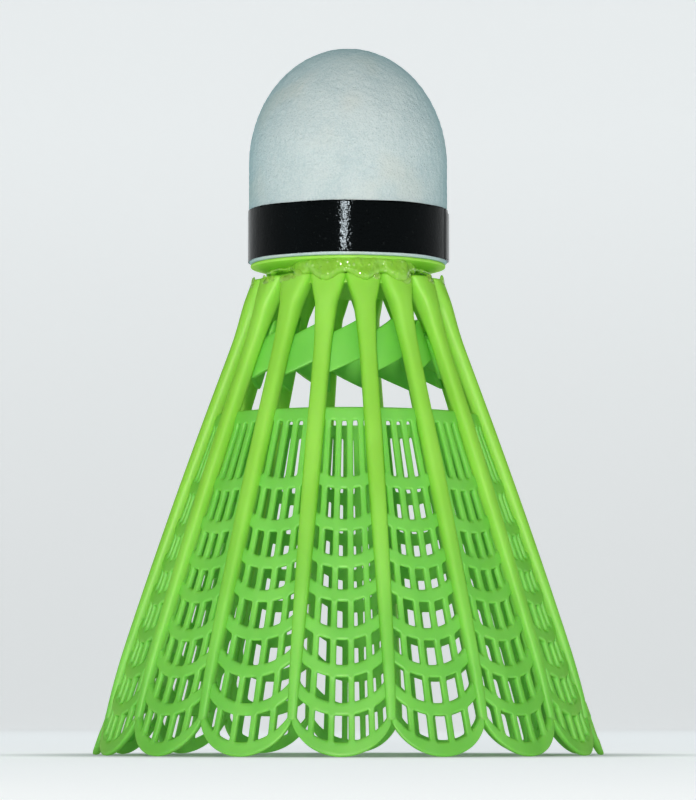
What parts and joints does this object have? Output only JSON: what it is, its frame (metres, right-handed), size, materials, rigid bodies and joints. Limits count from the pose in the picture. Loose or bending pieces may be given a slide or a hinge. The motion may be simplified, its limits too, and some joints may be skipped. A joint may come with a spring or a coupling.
{
  "type": "badminton shuttlecock",
  "caption": "Synthetic badminton shuttlecock: domed white head, black band and a green moulded nylon skirt of ribbed mesh with a scalloped hem.",
  "frame": {"origin": "centre of the plane that the hem's scallops stand on", "axes": "+Z along the axis, from the hem to the head"},
  "size_m": [0.0656, 0.0656, 0.0924],
  "materials": {
    "foam": "fine-grained matt cover, pale grey-white",
    "core": "pressed composite cork, not visible",
    "band": "glossy black tape",
    "nylon": "lime-green moulded nylon, satin and slightly translucent",
    "glue": "clear glossy adhesive with small bubbles"
  },
  "bodies": {
    "root": {"head_cover": "foam", "head_core": "core", "band": "band", "crown_plug": "nylon", "glue_ring": "glue", "stem_01": "nylon", "vane_01": "nylon", "mesh_panel_01": "nylon", "stem_02": "nylon", "vane_02": "nylon", "mesh_panel_02": "nylon", "stem_03": "nylon", "vane_03": "nylon", "mesh_panel_03": "nylon", "stem_04": "nylon", "vane_04": "nylon", "mesh_panel_04": "nylon", "stem_05": "nylon", "vane_05": "nylon", "mesh_panel_05": "nylon", "stem_06": "nylon", "vane_06": "nylon", "mesh_panel_06": "nylon", "stem_07": "nylon", "vane_07": "nylon", "mesh_panel_07": "nylon", "stem_08": "nylon", "vane_08": "nylon", "mesh_panel_08": "nylon", "stem_09": "nylon", "vane_09": "nylon", "mesh_panel_09": "nylon", "stem_10": "nylon", "vane_10": "nylon", "mesh_panel_10": "nylon", "stem_11": "nylon", "vane_11": "nylon", "mesh_panel_11": "nylon", "stem_12": "nylon", "vane_12": "nylon", "mesh_panel_12": "nylon", "stem_13": "nylon", "vane_13": "nylon", "mesh_panel_13": "nylon", "stem_14": "nylon", "vane_14": "nylon", "mesh_panel_14": "nylon", "stem_15": "nylon", "vane_15": "nylon", "mesh_panel_15": "nylon", "stem_16": "nylon", "vane_16": "nylon", "mesh_panel_16": "nylon"}
  },
  "joints": []
}
